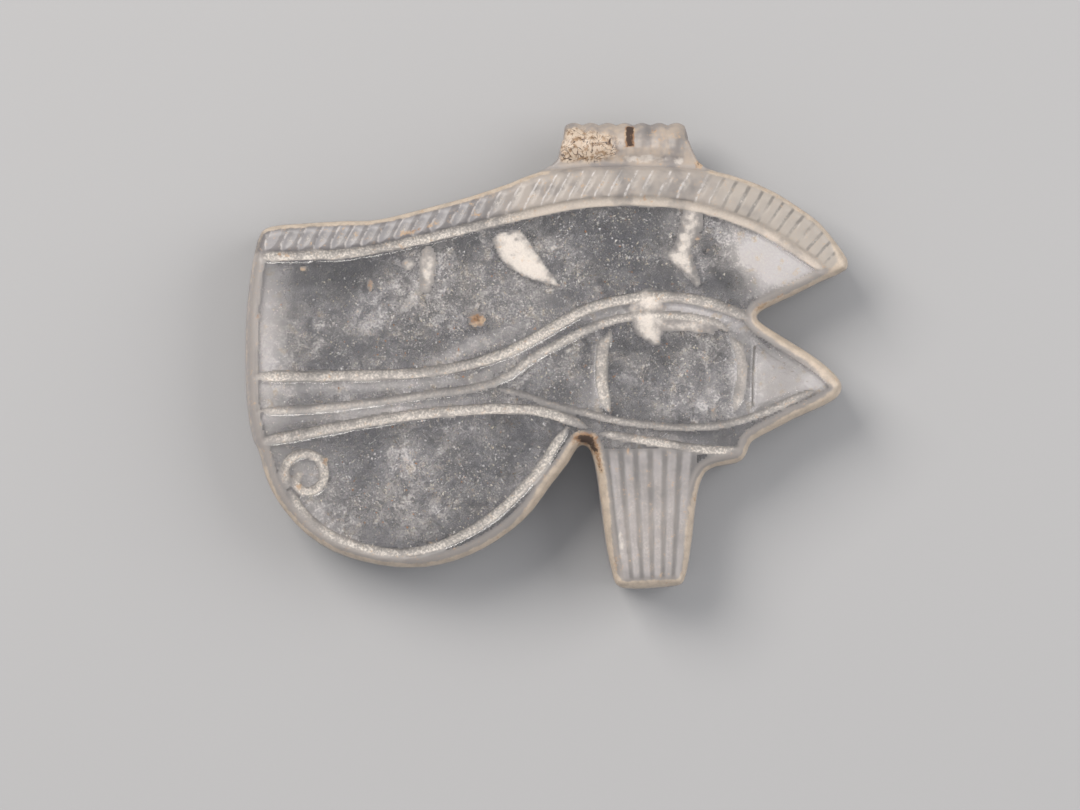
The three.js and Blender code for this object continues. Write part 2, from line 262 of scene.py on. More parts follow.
# Where the surface is ground, edge, band of the brow, flute, milky or stained, as numbers on
# the vertices. Each soft spot is x, y, its two half widths in mm, its turn and its strength.
BROW_LINE = (
    (-22.5, 7.2), (-18.3, 7.3), (-15, 7.4), (-12, 7.9), (-8.7, 8.6), (-5, 9.5), (-1.2, 10.4),
    (2.5, 11.1), (6.2, 11.3), (9.9, 11.1), (13.2, 10.3), (16.2, 9.1), (18.8, 7.5), (20.9, 6), (22.5, 4.8),
)
HATCH_FEET = (
    -21.1, -19.8, -18.55, -17.35, -16.1, -15.05, -13.8, -12.6, -11.35, -10.05, -8.7, -7.2, -5.9, -4.5,
    -3.2, -1.85, -0.65, 0.3, 1.35, 2.3, 3.3, 4.35, 5.6, 6.75, 8.1, 9.5, 10.85, 11.8, 12.75, 13.75,
    14.65, 15.4, 16.1, 16.8, 17.5, 18.25, 19, 19.7, 20.35, 21.0,
)
HATCH_LEAN = (61, 47)
HATCH_TIP = (13, 20)
HAZE = (
    (-8.7, 5.8, 2.0, 2.5, 0, 0.75), (-12.2, 4.0, 4.2, 1.3, 35, 0.40), (-13.0, 2.2, 1.6, 1.2, 0, 0.35),
    (-3.0, 4.5, 4.0, 1.6, 20, 0.30), (-2.2, 7.4, 2.0, 1.6, -40, 0.35), (10.0, 7.9, 1.3, 2.5, 12, 0.55),
    (10.9, 10.1, 1.6, 0.9, 0, 0.50), (8.0, 2.2, 1.4, 1.2, 0, 0.60), (11.0, 2.0, 2.6, 0.7, 0, 0.75),
    (12.3, -3.4, 1.9, 1.5, 30, 0.60), (12.7, 0.8, 0.9, 0.9, 0, 0.45), (9.5, -3.9, 1.6, 0.9, 0, 0.40),
    (15.6, 7.3, 3.2, 1.8, -25, 0.65),
    (-15.5, -13.0, 2.4, 1.3, -30, 0.55), (-10.3, -8.0, 1.8, 2.4, 0, 0.40), (-1.5, -9.4, 1.6, 0.9, 50, 0.50),
    (-11.0, -12.5, 4.0, 1.0, -5, 0.25), (5.8, -14.0, 0.6, 2.4, 5, 0.50), (-17.5, 3.0, 2.0, 3.5, 0, 0.15),
    (9.5, -2.0, 3.4, 2.2, 0, 0.20), (0.3, -1.0, 2.6, 1.4, 0, 0.20),
)
BLOOM = (
    (-21.3, 0.8, 2.0, 8.5, 0, 0.66), (-18.6, -9.2, 2.8, 2.6, 0, 0.40), (-17.0, -13.0, 3.5, 1.3, -40, 0.30),
    (-13.0, -2.3, 9.0, 0.6, 3, 0.45), (-13.0, -4.2, 9.0, 0.8, 3, 0.50), (-6.0, 0.3, 4.5, 0.6, 22, 0.30),
    (6.0, 3.3, 5.5, 0.7, 8, 0.45), (13.0, 2.6, 3.0, 0.6, -20, 0.45), (16.9, 7.0, 3.4, 1.7, -28, 0.50),
    (19.0, 5.6, 2.2, 1.1, -30, 0.50), (14.4, -1.6, 0.9, 3.2, 0, 0.60),
    (18.5, -3.6, 3.5, 0.8, 33, 0.45), (8.0, -6.6, 5.0, 0.6, -6, 0.35), (7.7, -12.3, 2.9, 4.8, 0, 0.60),
    (3.75, -1.4, 0.35, 3.4, 0, 0.55), (18.8, -0.5, 2.6, 0.7, -32, 0.60), (20.2, -1.9, 1.1, 0.9, 0, 0.60),
    (10.0, 3.3, 3.2, 0.5, -8, 0.55), (-2.0, 0.2, 3.6, 0.5, 32, 0.45),
    (-0.5, -9.6, 2.2, 1.0, 48, 0.35), (3.3, -3.2, 1.2, 2.0, 0, 0.20),
)
STAINS = (
    (-5.2, 2.5, 0.55, 0.50, 0, 1.6), (-13.1, 5.1, 0.22, 0.45, 0, 0.9), (-18.1, 6.3, 0.3, 0.25, 0, 0.7),
    (-21.4, 2.8, 0.2, 0.2, 0, 0.8), (-19.9, 7.3, 0.22, 0.18, 0, 1.0), (-19.3, 7.3, 0.2, 0.18, 0, 1.0),
    (2.8, -6.3, 0.85, 0.45, 0, 2.3), (3.5, -7.0, 0.35, 0.6, 20, 1.8), (3.9, -8.2, 0.2, 0.9, 10, 1.2),
    (-18.5, -9.9, 0.35, 0.25, 0, 0.9), (-16.5, -8.0, 0.25, 0.35, 0, 0.9), (11.3, 14.1, 0.35, 0.4, 30, 1.2),
    (15.9, 3.5, 0.8, 0.22, 30, 0.8), (17.2, 4.2, 0.6, 0.16, 30, 0.6), (6.0, -7.2, 0.12, 0.3, 0, 0.8),
    (11.0, -10.8, 0.14, 0.6, 0, 0.7), (5.1, -15.6, 0.15, 0.9, 0, 0.7), (11.2, 8.6, 0.16, 0.16, 0, 1.0),
    (11.9, 7.6, 0.16, 0.14, 0, 0.7), (7.2, 11.5, 0.22, 0.18, 0, 0.8), (9.5, 12.0, 0.2, 0.2, 0, 0.7),
    (2.6, 12.4, 0.2, 0.2, 0, 0.6), (6.2, 12.1, 0.2, 0.16, 0, 0.6), (-9.8, 9.1, 2.6, 0.14, 17, 0.9),
    (-5.0, 10.3, 1.2, 0.14, 17, 0.6), (4.4, 15.6, 0.6, 0.7, 0, 0.35), (1.9, 16.6, 0.8, 0.3, 0, 0.4),
    (8.0, 16.6, 0.3, 0.14, 0, 0.8), (8.3, 15.9, 0.3, 0.12, 0, 0.7), (10.1, 15.5, 0.12, 0.3, 0, 0.7),
    (12.3, -4.3, 0.16, 0.3, 0, 0.7), (4.9, -4.2, 0.2, 0.16, 0, 0.5),
)
FLUTE_COUNT = 6
FLUTES_LEFT = ((4.95, -7.75), (5.9, -16.9))
FLUTES_RIGHT = ((10.3, -8.15), (9.75, -16.7))
BORE_STAIN = {"low": (5.85, 15.40), "high": (6.45, 16.95), "soft": 0.10, "strength": 2.0}
SUNK_CORNER = ((15.3, 0.95), (15.15, -4.45), (20.2, -2.15))
SMOOTH_PATCHES = (
    (SUNK_CORNER, 0.35, 0.50),
    (((15.9, 3.8), (20.0, 6.0), (20.2, 6.8), (18.6, 7.8), (16.2, 8.8), (13.8, 9.2), (13.8, 6.5)), 1.3, 0.5),
)
WEDGE = (
    (0.95, 5.05), (1.0, 5.4), (-1.55, 8.34), (-2.0, 9.0), (-3.45, 8.85),
    (-3.9, 8.45), (-3.48, 7.25), (-2.69, 6.45), (-1.55, 5.75),
)
BRUISES = (
    (10.8, 9.8, 0.9, 1.2, 0, 0.48), (10.1, 8.3, 0.45, 1.1, -20, 0.45), (9.5, 7.1, 0.7, 0.45, -35, 0.60),
    (10.2, 6.9, 0.55, 0.9, 30, 0.55), (10.9, 5.7, 0.4, 1.0, 25, 0.50), (10.2, 8.0, 0.9, 2.3, -8, 0.24),
    (7.3, 3.3, 1.3, 1.1, 0, 0.62), (7.4, 2.0, 0.95, 1.0, 0, 0.62), (7.9, 1.2, 0.5, 0.8, 30, 0.52),
    (7.6, 4.3, 0.7, 0.6, 0, 0.50), (9.6, 2.1, 1.5, 0.55, 0, 0.48), (11.6, 1.9, 1.4, 0.55, -8, 0.42),
    (-8.8, 6.9, 0.7, 1.3, 0, 0.50),
    (-9.0, 5.2, 0.6, 1.0, 0, 0.45), (-10.3, 6.6, 0.55, 0.55, 0, 0.50), (5.5, -14.0, 0.25, 1.4, 3, 0.65),
    (7.1, 14.5, 2.2, 0.3, 0, 0.90),
    (9.8, 14.3, 0.35, 0.3, 0, 1.00), (-2.3, 8.45, 0.3, 0.25, 0, -0.90), (-18.6, -9.1, 1.2, 1.2, 0, 0.15),
)
GREY_PATCHES = (
    (5.5, 13.2, 0.5, 0.7, 0, 0.7), (7.5, 12.3, 0.5, 0.5, 0, 0.7), (8.7, 11.9, 0.9, 0.4, 0, 0.6),
    (10.6, 12.3, 0.7, 0.5, 0, 0.6), (11.7, 12.9, 0.8, 0.4, -20, 0.5), (-19.0, 9.1, 0.6, 0.3, 0, 0.7),
    (7.5, 16.5, 0.4, 0.6, 0, 0.9), (9.9, 15.9, 0.75, 0.9, 0, 0.9), (6.8, 15.9, 0.5, 0.7, 0, 0.4),
    (-3.5, 11.3, 0.6, 0.4, 20, 0.5), (15.0, 10.6, 1.3, 0.35, -32, 0.4), (-6.5, 9.7, 1.8, 0.25, 15, 0.4),
)
CRUSTED = ((3.2, 15.4, 2.5, 1.3, 0, 1.2), (1.8, 16.6, 0.9, 0.5, 0, 0.5), (1.6, 14.6, 0.9, 0.5, 0, 0.4))
WORN_CUTS = (
    (-12.5, -3.2, 9.5, 0.7, 6, 0.65), (-0.2, -3.4, 3.6, 0.6, -16, 0.70), (-9.0, -1.3, 4.5, 0.6, 8, 0.45),
    (-2.5, -1.2, 1.5, 0.6, 35, 0.35), (9.0, -5.6, 6.0, 0.8, 0, 0.45), (-17.0, -12.5, 3.0, 0.9, -40, 0.45),
    (-19.8, -9.5, 0.8, 2.5, 0, 0.30), (12.0, 3.0, 3.0, 0.8, -15, 0.40),
)
# Healed cracks, each a band along a line of places: x, y, half width and depth under the
# front in mm.
CRACKS = {
    "wedge": (
        (-3.70, 8.78, 0.40, 0.40), (-2.88, 8.19, 0.80, 0.25), (-2.29, 7.67, 1.0, 0.20),
        (-1.62, 6.78, 1.0, 0.20), (-0.95, 6.26, 0.85, 0.25), (-0.28, 5.74, 0.55, 0.30),
        (0.98, 5.07, 0.1, 0.40),
    ),
    "wisp": (
        (10.9, 10.4, 0.3, 0.5), (10.8, 9.6, 0.4, 0.35), (10.3, 8.7, 0.3, 0.25), (9.9, 7.9, 0.3, 0.25),
        (9.9, 6.9, 0.5, 0.25), (10.5, 6.0, 0.3, 0.3), (10.9, 5.2, 0.05, 0.4),
    ),
    "lid_patch": (
        (7.0, 4.7, 0.3, 0.55), (7.3, 3.5, 0.6, 0.5), (7.3, 2.3, 0.6, 0.5),
        (7.7, 1.3, 0.4, 0.4), (8.1, 0.5, 0.1, 0.5),
    ),
    "brush": (
        (-8.9, 7.8, 0.2, 0.5), (-8.9, 6.8, 0.4, 0.4), (-9.1, 5.5, 0.4, 0.5),
        (-9.8, 4.2, 0.5, 0.8), (-11.0, 3.0, 0.2, 1.2),
    ),
    "pupil_top": ((8.4, 2.0, 0.2, 0.5), (10.0, 2.0, 0.3, 0.5), (11.5, 1.8, 0.3, 0.5), (12.4, 1.4, 0.1, 0.6)),
    "drop_flaw": ((5.6, -12.4, 0.12, 0.5), (5.5, -14.0, 0.35, 0.45), (5.6, -15.3, 0.15, 0.5)),
}
CRACK_STEPS = 60
# Where the beige edge band, partly frosted stone and partly painted light on the lit bevel, is wider.
WIDE_EDGES = (
    (4.0, -11.5, 0.9, 5.0, 0, 1.0), (18.5, 0.9, 4.0, 1.2, -32, 1.0), (21.0, -1.6, 1.8, 1.6, 0, 0.9),
    (18.5, -4.6, 3.6, 0.9, 27, 0.5), (21.8, 6.9, 1.4, 1.2, 0, 0.8), (0.5, -9.2, 3.2, 1.2, 50, 0.9),
    (2.4, -7.2, 1.2, 0.9, 0, 1.0), (10.2, -12.0, 0.6, 4.5, 0, 0.5), (7.7, -17.2, 3.0, 0.6, 0, 1.0),
    (-10.0, -14.2, 6.0, 0.8, 0, 0.2),
)
CLEAREST = (
    (5.5, 8.6, 3.0, 2.3, 0, 0.95), (-15.8, 5.6, 2.8, 1.2, 0, 0.75), (8.4, -0.3, 2.4, 1.2, 0, 0.5),
    (0.5, -1.2, 2.5, 1.2, 0, 0.2), (-4.5, -8.0, 2.2, 2.2, 0, 0.4), (-14.0, -9.5, 1.6, 2.0, 0, 0.4),
    (13.4, 5.6, 1.6, 1.0, 0, 0.6),
)


def soft_spots(x, y, spots):
    """The soft spots' sum at each place."""
    total = np.zeros(len(x))
    for centre_x, centre_y, half_x, half_y, turn, strength in spots:
        cosine, sine = math.cos(math.radians(turn)), math.sin(math.radians(turn))
        along = ((x / MM - centre_x) * cosine + (y / MM - centre_y) * sine) / half_x
        across = ((y / MM - centre_y) * cosine - (x / MM - centre_x) * sine) / half_y
        total += strength * np.exp(-1.2 * (along**2 + across**2))
    return total


def soft_polygon(x, y, corners, soft):
    """1 inside a convex shape whose corners go anticlockwise, 0 outside it."""
    within = np.full(len(x), np.inf)
    for (ax, ay), (bx, by) in zip(corners, corners[1:] + corners[:1]):
        off = ((bx - ax) * (y / MM - ay) - (by - ay) * (x / MM - ax)) / math.hypot(bx - ax, by - ay)
        within = np.minimum(within, off)
    return ramp(within, -soft, soft)


def crack_line(line):
    """A healed crack's line, half width and depth, in mm, in small steps."""
    line = np.array(line)
    marks = np.linspace(0, 1, len(line))
    along = np.linspace(0, 1, CRACK_STEPS + 1)
    bends = [np.polyfit(marks, column, min(3, len(line) - 1)) for column in line[:, :2].T]
    middle = np.stack([np.polyval(bend, along) for bend in bends], -1)
    return middle, np.interp(along, marks, line[:, 2]), np.interp(along, marks, line[:, 3])


def hatch_strokes(x, y):
    """Which cut of the brow passes each place, with parts of one, and how far up it, in mm."""
    marks = np.linspace(0, len(HATCH_FEET) - 1, 8 * len(HATCH_FEET))
    foot_x = np.interp(marks, range(len(HATCH_FEET)), HATCH_FEET)
    foot_y = np.interp(foot_x, *zip(*BROW_LINE))
    lean = np.radians(HATCH_LEAN[0] + (HATCH_LEAN[1] - HATCH_LEAN[0]) * ramp(foot_x, *HATCH_TIP))
    away_x, away_y = x[:, None] / MM - foot_x, y[:, None] / MM - foot_y
    off = away_x * np.sin(lean) - away_y * np.cos(lean)
    near = np.clip(np.abs(off).argmin(1), 1, len(marks) - 2)
    rows = np.arange(len(x))
    pitch = (off[rows, near - 1] - off[rows, near + 1]) / (marks[2] - marks[0])
    up = away_x[rows, near] * np.cos(lean[near]) + away_y[rows, near] * np.sin(lean[near])
    return marks[near] + off[rows, near] / pitch, up


def flute_numbers(x, y):
    """Which flute of the drop each place is at, a whole number on its middle."""
    sides = []
    for (top_x, top_y), (foot_x, foot_y) in (FLUTES_LEFT, FLUTES_RIGHT):
        sides.append(top_x + (foot_x - top_x) * (y / MM - top_y) / (foot_y - top_y))
    return (x / MM - sides[0]) / (sides[1] - sides[0]) * (FLUTE_COUNT - 1)


def milky(x, y):
    """Wispy haze and smooth bloom at each place."""
    bloom = soft_spots(x, y, BLOOM)
    for corners, soft, strength in SMOOTH_PATCHES:
        bloom += strength * soft_polygon(x, y, corners, soft)
    return np.clip(soft_spots(x, y, HAZE), 0, 1), np.clip(bloom, 0, 1)


def soft_box(x, y, low, high, soft, strength):
    """A soft-edged upright rectangle."""
    sides = [ramp(v / MM, a - soft, a + soft) * (1 - ramp(v / MM, b - soft, b + soft))
             for v, a, b in zip((x, y), low, high)]
    return strength * sides[0] * sides[1]


def paint(mesh, name, values):
    mesh.attributes.new(name, "FLOAT", "POINT").data.foreach_set("value", np.asarray(values, np.float32))


brow_y = np.interp(x / MM, *zip(*BROW_LINE)) * MM
in_corner = soft_polygon(x, y, SUNK_CORNER, 0.25)
at_soft_arc = np.clip(soft_spots(x, y, ((14.6, -1.5, 0.9, 3.6, 0, 1.3),)), 0, 1)
in_brow = ramp(y - brow_y, 0.1 * MM, 0.4 * MM) * on_front
on_drop = (1 - ramp(y, -8.6 * MM, -7.6 * MM)) * ramp(x, 3.0 * MM, 4.0 * MM)
edge_width = (0.50 + 0.75 * np.clip(soft_spots(x, y, WIDE_EDGES), 0, 1)) * MM
near_front = (1 - ramp(depth, 0.8 * MM, 1.4 * MM)) * (1 - on_tube)
by_tube = soft_box(x, y, (0.2, 12.3), (12.0, 15.0), 0.4, 1.0)
rim = (1 - ramp(inset / edge_width, 0.3, 1.0)) * near_front * (1 - by_tube)
brim = (1 - ramp(inset, 0.65 * MM, 1.05 * MM)) * near_front
wall = np.clip(1 - ramp(inset, 0.1 * MM, 0.5 * MM) + on_tube, 0, 1) * ramp(z, 0.1 * MM, 0.6 * MM)
worn_cut = np.clip(soft_spots(x, y, WORN_CUTS), 0, 0.75)
ground = ramp(depth, 0.02 * MM, 0.24 * MM) * on_front * ramp(inset, 0.6 * MM, 0.9 * MM)
stain = soft_spots(x, y, STAINS) + soft_box(x, y, **BORE_STAIN) + 0.25 * rim * ramp(y, 9.0 * MM, 11.0 * MM)
stroke, up = hatch_strokes(x, y)
flute = flute_numbers(x, y)
# Where the painted light bands along the drop's flutes lie, fading out at the top and the foot.
fluted = ramp(y, -17.1 * MM, -16.3 * MM) * (1 - ramp(y, -7.5 * MM, -6.9 * MM)) * on_front
fluted = fluted * ramp(flute, -0.75, -0.45) * (1 - ramp(flute, FLUTE_COUNT - 0.55, FLUTE_COUNT - 0.25))
at_left_edge = 1 - ramp(x, -21.7 * MM, -20.2 * MM)
haze, bloom = milky(x, y)
wedge = soft_polygon(x, y, WEDGE, 0.40)
bruise = soft_spots(x, y, BRUISES) + wedge
bruise = np.clip(bruise, 0, 1) * np.maximum(on_front, on_tube)
fields = {
    "ground": ground * (1 - in_corner) * (1 - 0.6 * at_soft_arc) * (1 - 0.75 * on_drop) * (1 - worn_cut),
    "rim": rim * (1 - 0.7 * at_left_edge),
    "brim": brim,
    "wall": wall,
    "brow": np.maximum(in_brow, on_tube),
    # Where the brow's cuts are drawn in the colour, with a painted highlight and painted shade.
    "hatched": in_brow * ramp(inset, 0.30 * MM, 0.50 * MM) * ramp(up, 0.30, 0.55),
    "stroke": stroke,
    "flute": flute,
    "fluted": fluted,
    "leaf": (0.34 - 0.20 * ramp(x, -10 * MM, 0)) * ramp(up, 0.1, 1.1),
    "along": ramp(x, -6.0 * MM, -1.0 * MM),
    "brow_tip": ramp(x, 11.0 * MM, 14.5 * MM),
    "tube": on_tube,
    "crusted": np.clip(soft_spots(x, y, CRUSTED), 0, 1) * on_tube,
    "grey": np.clip(soft_spots(x, y, GREY_PATCHES), 0, 1),
    "warm": ramp(x, -5.0 * MM, 0.0) * (1 - ramp(np.abs(y - brow_y), 0.5 * MM, 0.9 * MM)),
    "milk": np.clip(np.maximum(0.7 * haze + bloom, 0.8 * wedge), 0, 1) * on_front,
    "bruise": bruise,
    "stain": stain * ramp(z, 2.0 * MM, 3.0 * MM),
}
for name, values in fields.items():
    paint(stone.data, name, values)

# The clear faces let light through, which the stone dims a little on its way. The ground
# cuts, the edges, the sides, the drop and the brow are frosted, grey to whitish and beige,
# with earth in their grain. Painted light is laid in as well: a painted highlight and painted
# shade along the brow's cuts, lighter painted bands along the drop's flutes, and painted light
# in the beige of the edges.
CLEAR_COLOR = (0.93, 0.93, 0.96, 1)
DULLED_COLOR = (0.88, 0.87, 0.87, 1)
DIMMED_COLOR = (0.30, 0.30, 0.36, 1)
DIMMED_DENSITY = 92.0
QUARTZ_IOR = 1.544
CLEAR_TRANSMISSION = 0.97
GROUND_TRANSMISSION = 0.5
GROUND_COLOR = (0.95, 0.88, 0.80, 1)
GROUND_SHADE = (0.42, 0.39, 0.365, 1)
POLISH_COLOR = (0.20, 0.19, 0.19, 1)
# Painted light: the lighter bands along the drop's flutes.
FLUTE_HIGHLIGHT_COLOR = (0.54, 0.505, 0.50, 1)
WALL_COLOR = (0.92, 0.86, 0.79, 1)
SAWN_COLOR = (0.47, 0.45, 0.455, 1)
SAWN_SHADE = (0.38, 0.365, 0.375, 1)
# The edge band's beige: partly frosted stone, partly painted light on the lit bevel.
RIM_FROST_AND_LIGHT_COLOR = (0.82, 0.68, 0.54, 1)
RIM_SHADE = (0.60, 0.50, 0.40, 1)
WARM_COLOR = (0.66, 0.58, 0.50, 1)
SCOOP_COLOR = (0.36, 0.345, 0.355, 1)
SCOOP_SHADE = (0.22, 0.205, 0.21, 1)
BROW_COLOR = (0.52, 0.46, 0.41, 1)
BROW_SHADE = (0.34, 0.305, 0.285, 1)
BROW_TIP_COLOR = (0.55, 0.49, 0.43, 1)
# A painted highlight along one lip of each of the brow's cuts, and painted shade in the cuts near the tip.
HIGHLIGHT_LINE_COLOR = (0.85, 0.80, 0.77, 1)
SHADE_LINE_COLOR = (0.19, 0.17, 0.155, 1)
TUBE_COLOR = (0.60, 0.50, 0.41, 1)
TUBE_SHADE = (0.36, 0.325, 0.31, 1)
CRUST_LIGHT = (0.74, 0.61, 0.48, 1)
CRUST_DARK = (0.36, 0.23, 0.13, 1)
BRUISE_COLOR = (0.88, 0.81, 0.74, 1)
MILK_COLOR = (0.47, 0.425, 0.395, 1)
OCHRE_COLOR = (0.38, 0.19, 0.08, 1)
PALE_EARTH_COLOR = (0.66, 0.47, 0.31, 1)
UMBER_COLOR = (0.06, 0.03, 0.017, 1)


def add_node(tree, kind, inputs, **settings):
    """One shader node. An input is given a value or another node's output."""
    made = tree.nodes.new(kind)
    for name, value in settings.items():
        setattr(made, name, value)
    for key, value in inputs.items():
        if isinstance(value, bpy.types.NodeSocket):
            tree.links.new(value, made.inputs[key])
        else:
            made.inputs[key].default_value = value
    return made


def noise(tree, place, size, detail=3.0, roughness=0.5, distortion=0.0):
    values = {"Vector": place, "Scale": 1 / size, "Detail": detail}
    values.update({"Roughness": roughness, "Distortion": distortion})
    return add_node(tree, "ShaderNodeTexNoise", values).outputs["Fac"]


def step(tree, value, low, high):
    values = {"Value": value, "From Min": low, "From Max": high}
    return add_node(tree, "ShaderNodeMapRange", values, interpolation_type="SMOOTHSTEP").outputs["Result"]


def calc(tree, operation, a, b, clamp=False):
    return add_node(tree, "ShaderNodeMath", {0: a, 1: b}, operation=operation, use_clamp=clamp).outputs[0]


def blend(tree, factor, a, b):
    return add_node(tree, "ShaderNodeMix", {0: factor, 6: a, 7: b}, data_type="RGBA").outputs[2]


def blend_value(tree, factor, a, b):
    return add_node(tree, "ShaderNodeMix", {0: factor, 2: a, 3: b}, data_type="FLOAT").outputs[0]


def painted(tree, name):
    return add_node(tree, "ShaderNodeAttribute", {}, attribute_name=name).outputs["Fac"]


def new_effect(name, inputs, outputs):
    """An empty shader group with its named sockets, and the nodes at its two ends."""
    group = bpy.data.node_groups.new(name, "ShaderNodeTree")
    for socket, (kind, value) in inputs.items():
        made = group.interface.new_socket(socket, in_out="INPUT", socket_type="NodeSocket" + kind)
        made.default_value = value
    for socket, kind in outputs.items():
        group.interface.new_socket(socket, in_out="OUTPUT", socket_type="NodeSocket" + kind)
    start = group.nodes.new("NodeGroupInput")
    end = group.nodes.new("NodeGroupOutput")
    place = add_node(group, "ShaderNodeTexCoord", {}).outputs["Object"]
    return group, start.outputs, end.inputs, place


# The grain that wheel and abrasive leave, as a value and as a bump.
abraded, given, result, place = new_effect(
    "abraded_grain",
    {"Size": ("Float", 0.22 * MM), "Relief": ("Float", 0.35)},
    {"Grain": "Float", "Normal": "Vector"},
)
scale = calc(abraded, "DIVIDE", 1.0, given["Size"])
grained = {"Vector": place, "Scale": scale, "Detail": 3.0, "Roughness": 0.72}
grain = add_node(abraded, "ShaderNodeTexNoise", grained)
bumped = {"Strength": given["Relief"], "Distance": 0.04 * MM, "Height": grain.outputs["Fac"]}
abraded.links.new(grain.outputs["Fac"], result["Grain"])
abraded.links.new(add_node(abraded, "ShaderNodeBump", bumped).outputs["Normal"], result["Normal"])

# Fine scratches from handling, long and thin in one direction.
SCRATCH_STRETCH = (14, 0.6, 1)
scratched, given, result, place = new_effect(
    "fine_scratches",
    {"Direction": ("Float", 0.0), "Normal": ("Vector", (0, 0, 1))},
    {"Scratches": "Float", "Normal": "Vector"},
)
across = add_node(scratched, "ShaderNodeVectorRotate", {"Vector": place, "Angle": given["Direction"]})
stretched = add_node(
    scratched, "ShaderNodeVectorMath", {0: across.outputs[0], 1: SCRATCH_STRETCH}, operation="MULTIPLY",
)
scratches = step(scratched, noise(scratched, stretched.outputs[0], 1.1 * MM, 1.0, 0.5), 0.72, 0.78)
rubbed = step(scratched, noise(scratched, place, 6.0 * MM, 1.0, 0.5), 0.48, 0.62)
scratches = calc(scratched, "MULTIPLY", scratches, rubbed)
scored = {"Strength": 0.35, "Distance": 0.02 * MM, "Height": scratches, "Normal": given["Normal"]}
scratched.links.new(scratches, result["Scratches"])
scratched.links.new(add_node(scratched, "ShaderNodeBump", scored).outputs["Normal"], result["Normal"])

# Ochre and umber earth over a colour, where its amount is high enough and the grain holds it.
earthy, given, result, place = new_effect(
    "earth_in_the_grain",
    {"Color": ("Color", CLEAR_COLOR), "Amount": ("Float", 0.0), "Roughness": ("Float", 0.5)},
    {"Color": "Color", "Roughness": "Float"},
)
crumbs = noise(earthy, place, 0.20 * MM, 3.0, 0.78)
blots = noise(earthy, place, 0.55 * MM, 1.0, 0.6)
uneven = calc(earthy, "SUBTRACT", calc(earthy, "ADD", crumbs, calc(earthy, "MULTIPLY", blots, 0.6)), 0.8)
held = calc(earthy, "ADD", given["Amount"], calc(earthy, "MULTIPLY", uneven, 2.8))
ochre = calc(earthy, "MULTIPLY", step(earthy, held, 0.30, 0.9), 0.9)
umber = step(earthy, held, 1.1, 1.6)
earth = blend(earthy, step(earthy, blots, 0.40, 0.60), OCHRE_COLOR, PALE_EARTH_COLOR)
ochred = blend(earthy, ochre, given["Color"], earth)
earthy.links.new(blend(earthy, umber, ochred, UMBER_COLOR), result["Color"])
earthy.links.new(blend_value(earthy, ochre, given["Roughness"], 0.85), result["Roughness"])


def finish_crystal(tree, shader, color, roughness, normal, transmission):
    """Lays the earth over the stone's colour and sets what is the same all over it."""
    values = {"Color": color, "Amount": painted(tree, "stain"), "Roughness": roughness}
    dirt = add_node(tree, "ShaderNodeGroup", {}, node_tree=earthy)
    for key, value in values.items():
        tree.links.new(value, dirt.inputs[key])
    tree.links.new(dirt.outputs["Color"], shader.inputs["Base Color"])
    tree.links.new(dirt.outputs["Roughness"], shader.inputs["Roughness"])
    tree.links.new(normal, shader.inputs["Normal"])
    shader.inputs["IOR"].default_value = QUARTZ_IOR
    shader.inputs["Transmission Weight"].default_value = transmission
    dimming = add_node(tree, "ShaderNodeVolumeAbsorption", {"Color": DIMMED_COLOR, "Density": DIMMED_DENSITY})
    tree.links.new(dimming.outputs[0], tree.nodes["Material Output"].inputs["Volume"])


clear_quartz, tree, shader = new_material("clear_quartz")
place = add_node(tree, "ShaderNodeTexCoord", {}).outputs["Object"]
handled = noise(tree, place, 2.6 * MM, 3.0, 0.6)
sawn = painted(tree, "wall")
color = blend(tree, step(tree, handled, 0.35, 0.7), CLEAR_COLOR, DULLED_COLOR)
color = blend(tree, calc(tree, "MULTIPLY", sawn, step(tree, handled, 0.2, 0.8)), color, WALL_COLOR)
polish = add_node(tree, "ShaderNodeGroup", {"Size": 0.5 * MM, "Relief": 0.08}, node_tree=abraded)
polished = calc(tree, "ADD", calc(tree, "MULTIPLY", handled, 0.16), 0.05)
roughness = blend_value(tree, sawn, polished, calc(tree, "ADD", calc(tree, "MULTIPLY", handled, 0.3), 0.25))
scuffs = add_node(tree, "ShaderNodeGroup", {}, node_tree=scratched)
scuffs.inputs["Direction"].default_value = 0.9
tree.links.new(polish.outputs["Normal"], scuffs.inputs["Normal"])
roughness = calc(tree, "ADD", roughness, calc(tree, "MULTIPLY", scuffs.outputs["Scratches"], 0.25), True)
finish_crystal(tree, shader, color, roughness, scuffs.outputs["Normal"], CLEAR_TRANSMISSION)

ground_quartz, tree, shader = new_material("ground_quartz")
place = add_node(tree, "ShaderNodeTexCoord", {}).outputs["Object"]
pitted = add_node(tree, "ShaderNodeGroup", {"Size": 0.17 * MM, "Relief": 0.5}, node_tree=abraded)
patchy = noise(tree, place, 2.2 * MM, 3.0, 0.62)
smeared = noise(tree, place, 0.7 * MM, 4.0, 0.7)
ground = painted(tree, "ground")
milk = calc(tree, "MULTIPLY", painted(tree, "milk"), step(tree, patchy, 0.2, 0.6))
by_edge = calc(tree, "MULTIPLY", painted(tree, "brim"), 0.75)
color = blend(tree, calc(tree, "MAXIMUM", milk, by_edge), POLISH_COLOR, MILK_COLOR)
sawn = blend(tree, step(tree, patchy, 0.3, 0.65), SAWN_SHADE, SAWN_COLOR)
color = blend(tree, painted(tree, "wall"), color, sawn)
wobble = calc(tree, "MULTIPLY", calc(tree, "SUBTRACT", smeared, 0.5), 0.22)
